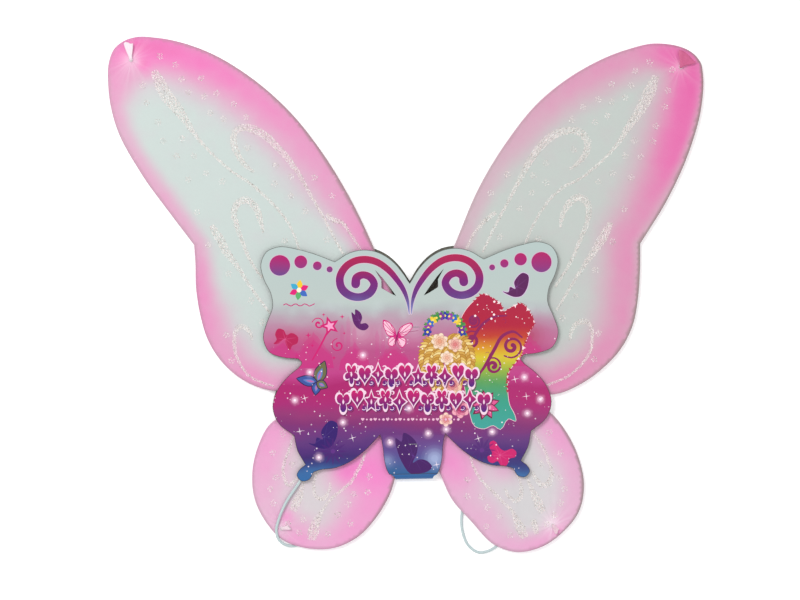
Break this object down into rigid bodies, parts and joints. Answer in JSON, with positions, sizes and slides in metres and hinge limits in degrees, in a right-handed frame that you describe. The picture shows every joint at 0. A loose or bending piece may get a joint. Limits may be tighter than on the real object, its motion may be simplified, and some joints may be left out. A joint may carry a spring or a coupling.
{
  "type": "fairy wings",
  "caption": "Child's dress-up fairy wings: nylon sleeves on wire loops bound at the centre, with elastic arm loops, on a folded butterfly-shaped card.",
  "frame": {"origin": "centre strip of the card's back face, where the object rests when it lies flat", "axes": "+X to the right as seen from the display side, +Y up the wings, +Z out of the display side"},
  "size_m": [0.5812, 0.5054, 0.0109],
  "materials": {
    "wire_steel": "satin",
    "nylon": "sheer knit, sprayed pink at the rim",
    "thread": "matt",
    "tape": "matt",
    "elastic": "braided",
    "card": "printed coated greyboard",
    "staple_steel": "bright"
  },
  "bodies": {
    "centre": {"upper_wrap": "tape", "lower_wrap": "tape", "card_spine": "card", "staple_top": "staple_steel", "staple_bottom": "staple_steel"},
    "left_wings": {"upper_left_wire": "wire_steel", "lower_left_wire": "wire_steel", "upper_left_skin": "nylon", "lower_left_skin": "nylon", "upper_left_tip_tie": "thread", "lower_left_tip_tie": "thread", "upper_left_root_tie": "thread", "lower_left_root_tie": "thread", "left_strap": "elastic", "left_strap_knots": "elastic", "card_left": "card"},
    "right_wings": {"upper_right_wire": "wire_steel", "lower_right_wire": "wire_steel", "upper_right_skin": "nylon", "lower_right_skin": "nylon", "upper_right_tip_tie": "thread", "lower_right_tip_tie": "thread", "upper_right_root_tie": "thread", "lower_right_root_tie": "thread", "right_strap": "elastic", "right_strap_knots": "elastic", "card_right": "card"}
  },
  "joints": [
    {"name": "left_fold", "type": "hinge", "parent": "centre", "child": "left_wings", "pos_m": [-0.007, 0, 0.005], "axis": [0, 1, 0], "range_deg": [0, 45]},
    {"name": "right_fold", "type": "hinge", "parent": "centre", "child": "right_wings", "pos_m": [0.007, 0, 0.005], "axis": [0, -1, 0], "range_deg": [0, 45]}
  ]
}
